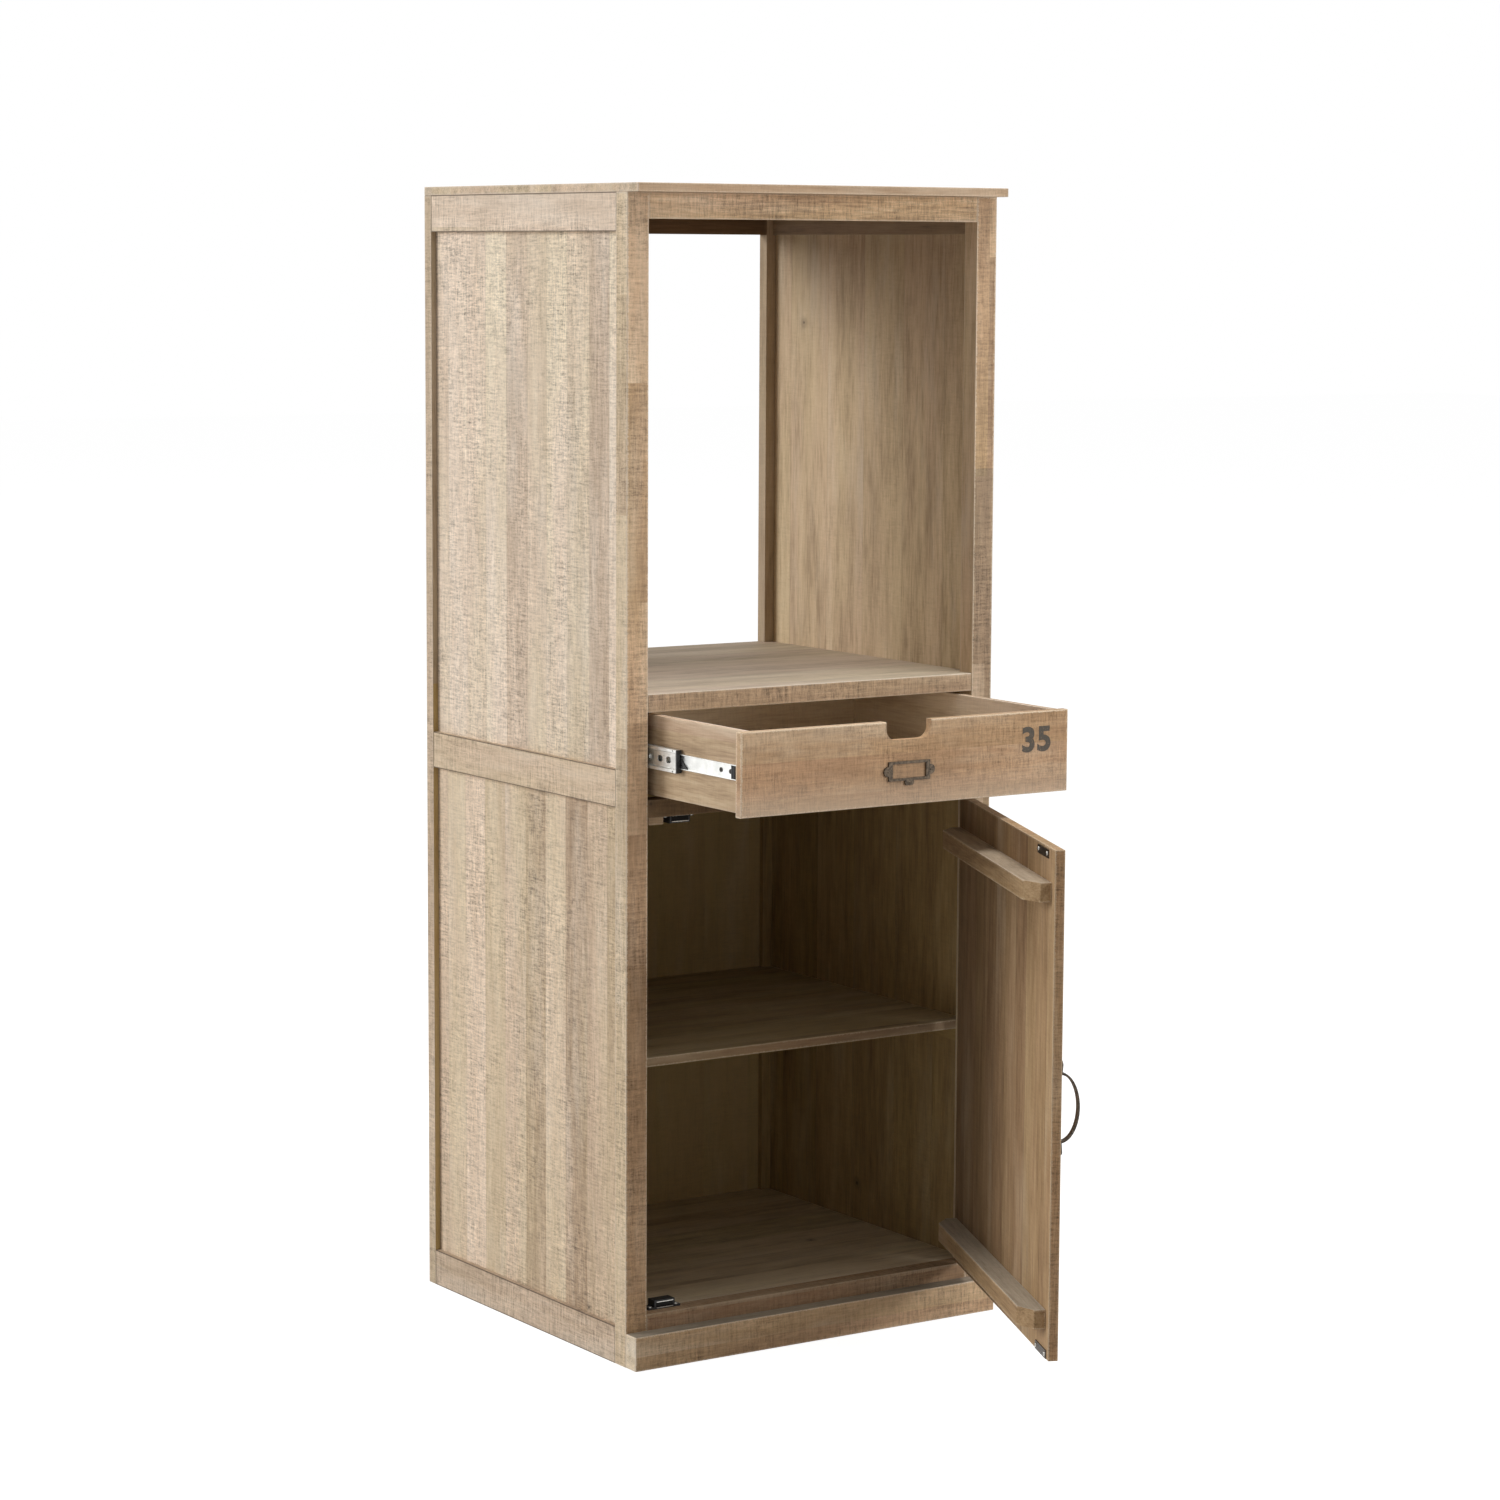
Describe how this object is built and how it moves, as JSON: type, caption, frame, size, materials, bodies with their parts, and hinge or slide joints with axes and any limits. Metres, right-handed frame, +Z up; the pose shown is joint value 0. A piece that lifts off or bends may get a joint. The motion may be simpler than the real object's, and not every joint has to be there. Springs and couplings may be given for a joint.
{
  "type": "oven cabinet",
  "caption": "Tall wooden cabinet with an open niche for a built-in oven, a drawer below it on ball-bearing slides, and a cupboard with an inset hinged door.",
  "frame": {"origin": "on the floor, in the middle of the cabinet's back plane", "axes": "+X to the right, +Y to the back, +Z up; the door and drawer face -Y"},
  "size_m": [0.635, 1.098, 1.674],
  "materials": {
    "frame_wood": "rough-sawn, limed oak",
    "panel_wood": "rough-sawn, limed oak",
    "board_wood": "smooth oak",
    "door_wood": "planed oak staves",
    "drawer_front_wood": "rough-sawn, limed oak",
    "drawer_wood": "smooth oak",
    "slide_zinc": "zinc plated",
    "black_plastic": "moulded",
    "screw_steel": "zinc plated",
    "dark_bronze": "dark bronze patina"
  },
  "bodies": {
    "cabinet": {"back_bottom_rail": "frame_wood", "back_middle_rail": "frame_wood", "back_panel": "panel_wood", "back_top_rail": "frame_wood", "carcass_screws": "screw_steel", "catch_bodies": "black_plastic", "catch_magnets": "screw_steel", "door_stop_block": "board_wood", "drawer_rail": "frame_wood", "floor_board": "board_wood", "floor_rail": "frame_wood", "front_top_rail": "frame_wood", "hinge_post_leaves": "dark_bronze", "left_back_post": "frame_wood", "left_bottom_rail": "frame_wood", "left_front_post": "frame_wood", "left_lower_panel": "panel_wood", "left_middle_rail": "frame_wood", "left_outer_slide_member": "slide_zinc", "left_top_rail": "frame_wood", "left_upper_panel": "panel_wood", "middle_shelf": "board_wood", "oven_shelf": "board_wood", "plinth_board": "frame_wood", "right_back_post": "frame_wood", "right_bottom_rail": "frame_wood", "right_front_post": "frame_wood", "right_lower_panel": "panel_wood", "right_middle_rail": "frame_wood", "right_outer_slide_member": "slide_zinc", "right_top_rail": "frame_wood", "right_upper_panel": "panel_wood", "side_cleats": "board_wood", "top_panel": "frame_wood"},
    "door": {"door_panel": "door_wood", "door_upper_batten": "door_wood", "door_lower_batten": "door_wood", "strike_plates": "dark_bronze", "hinge_door_leaves": "dark_bronze", "door_handle": "dark_bronze", "door_screws": "screw_steel"},
    "drawer": {"drawer_front": "drawer_front_wood", "left_drawer_side": "drawer_wood", "right_drawer_side": "drawer_wood", "drawer_back": "drawer_wood", "drawer_bottom": "drawer_wood", "label_frame": "dark_bronze", "left_drawer_slide_member": "slide_zinc", "right_drawer_slide_member": "slide_zinc", "drawer_slide_clips": "black_plastic", "drawer_screws": "screw_steel"},
    "left_middle_slide": {"left_middle_slide_member": "slide_zinc", "left_middle_bumper": "black_plastic"},
    "left_outer_cage": {"left_outer_ball_cage": "slide_zinc"},
    "left_inner_cage": {"left_inner_ball_cage": "slide_zinc"},
    "right_middle_slide": {"right_middle_slide_member": "slide_zinc", "right_middle_bumper": "black_plastic"},
    "right_outer_cage": {"right_outer_ball_cage": "slide_zinc"},
    "right_inner_cage": {"right_inner_ball_cage": "slide_zinc"}
  },
  "joints": [
    {"name": "drawer_slide", "type": "slide", "parent": "cabinet", "child": "drawer", "axis": [0, -1, 0], "range_m": [-0.234, 0.216]},
    {"name": "door_hinge", "type": "hinge", "parent": "cabinet", "child": "door", "pos_m": [0.28125, -0.5792, 0], "axis": [0, 0, 1], "range_deg": [-66.75, 103.25]},
    {"name": "left_middle_slide_travel", "type": "slide", "parent": "cabinet", "child": "left_middle_slide", "axis": [0, -1, 0], "range_m": [-0.117, 0.108]},
    {"name": "left_outer_cage_travel", "type": "slide", "parent": "cabinet", "child": "left_outer_cage", "axis": [0, -1, 0], "range_m": [-0.0585, 0.054]},
    {"name": "left_inner_cage_travel", "type": "slide", "parent": "cabinet", "child": "left_inner_cage", "axis": [0, -1, 0], "range_m": [-0.1755, 0.162]},
    {"name": "right_middle_slide_travel", "type": "slide", "parent": "cabinet", "child": "right_middle_slide", "axis": [0, -1, 0], "range_m": [-0.117, 0.108]},
    {"name": "right_outer_cage_travel", "type": "slide", "parent": "cabinet", "child": "right_outer_cage", "axis": [0, -1, 0], "range_m": [-0.0585, 0.054]},
    {"name": "right_inner_cage_travel", "type": "slide", "parent": "cabinet", "child": "right_inner_cage", "axis": [0, -1, 0], "range_m": [-0.1755, 0.162]}
  ],
  "couplings": [
    {"joint": "left_middle_slide_travel", "follows": "drawer_slide", "ratio": 0.5},
    {"joint": "left_outer_cage_travel", "follows": "drawer_slide", "ratio": 0.25},
    {"joint": "left_inner_cage_travel", "follows": "drawer_slide", "ratio": 0.75},
    {"joint": "right_middle_slide_travel", "follows": "drawer_slide", "ratio": 0.5},
    {"joint": "right_outer_cage_travel", "follows": "drawer_slide", "ratio": 0.25},
    {"joint": "right_inner_cage_travel", "follows": "drawer_slide", "ratio": 0.75}
  ]
}
